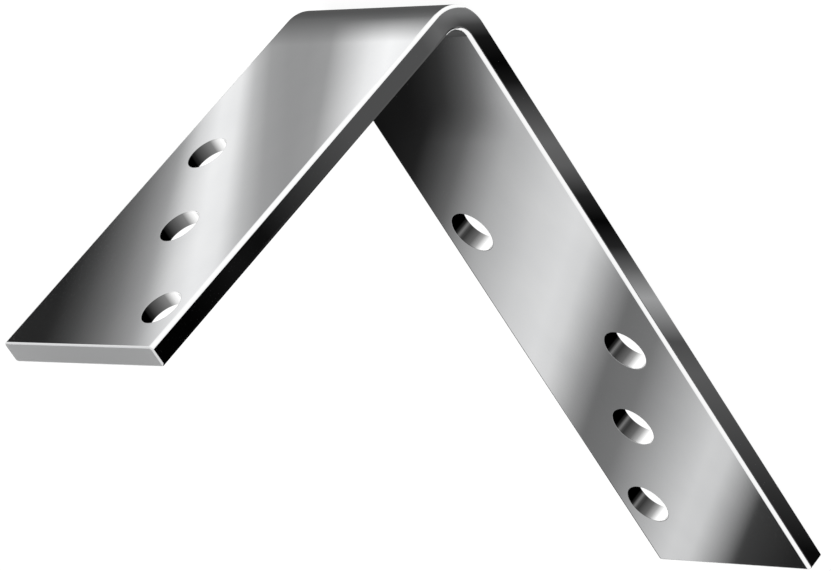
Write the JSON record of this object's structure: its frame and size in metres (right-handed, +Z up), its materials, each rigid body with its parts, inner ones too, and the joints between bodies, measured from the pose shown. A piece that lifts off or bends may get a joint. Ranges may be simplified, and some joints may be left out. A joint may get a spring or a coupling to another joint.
{
  "type": "beam angle bracket",
  "caption": "Flat steel bar bent square into an angle with one leg longer than the other, with staggered round fixing holes in both legs for joining beams.",
  "frame": {"origin": "the sharp corner where the two outer faces would meet, at the middle of the bar's width", "axes": "+X along the long leg, +Z up the short leg, Y across the bar's width"},
  "size_m": [0.155, 0.045, 0.105],
  "materials": {
    "zinc_plated_steel": "bright zinc plating over rolled flat bar, satin, with lighter worn edges"
  },
  "bodies": {
    "root": {"angle_bracket": "zinc_plated_steel"}
  },
  "joints": []
}
